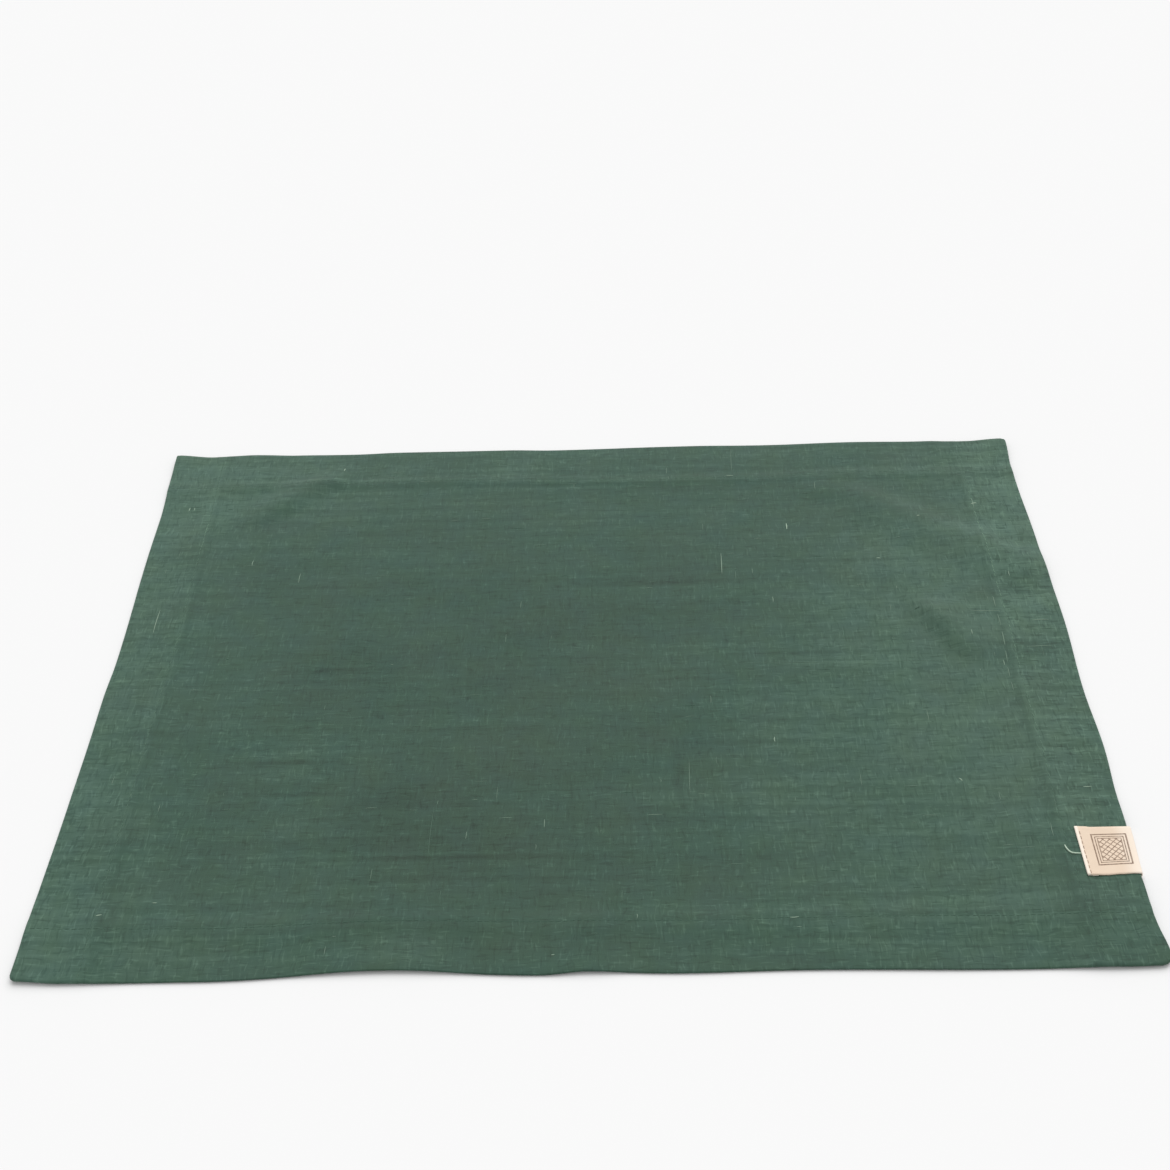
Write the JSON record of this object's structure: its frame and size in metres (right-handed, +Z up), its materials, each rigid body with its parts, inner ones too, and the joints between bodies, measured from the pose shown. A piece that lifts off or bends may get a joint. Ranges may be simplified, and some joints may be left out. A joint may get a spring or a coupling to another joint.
{
  "type": "fabric placemat",
  "caption": "Flat rectangular linen placemat with a turned and stitched hem on every side and a small ribbon label folded over one edge near a corner.",
  "frame": {"origin": "on the table, under the middle of the mat's outline", "axes": "+X along the long side towards the edge with the label, +Y away from the person at the table, +Z up out of the table"},
  "size_m": [0.4532, 0.3526, 0.0048],
  "materials": {
    "linen": "matt plain-weave linen dyed dark green, with slubs",
    "ribbon": "matt cream cotton ribbon with a small brown print"
  },
  "bodies": {
    "root": {"mat": "linen", "label": "ribbon"}
  },
  "joints": []
}
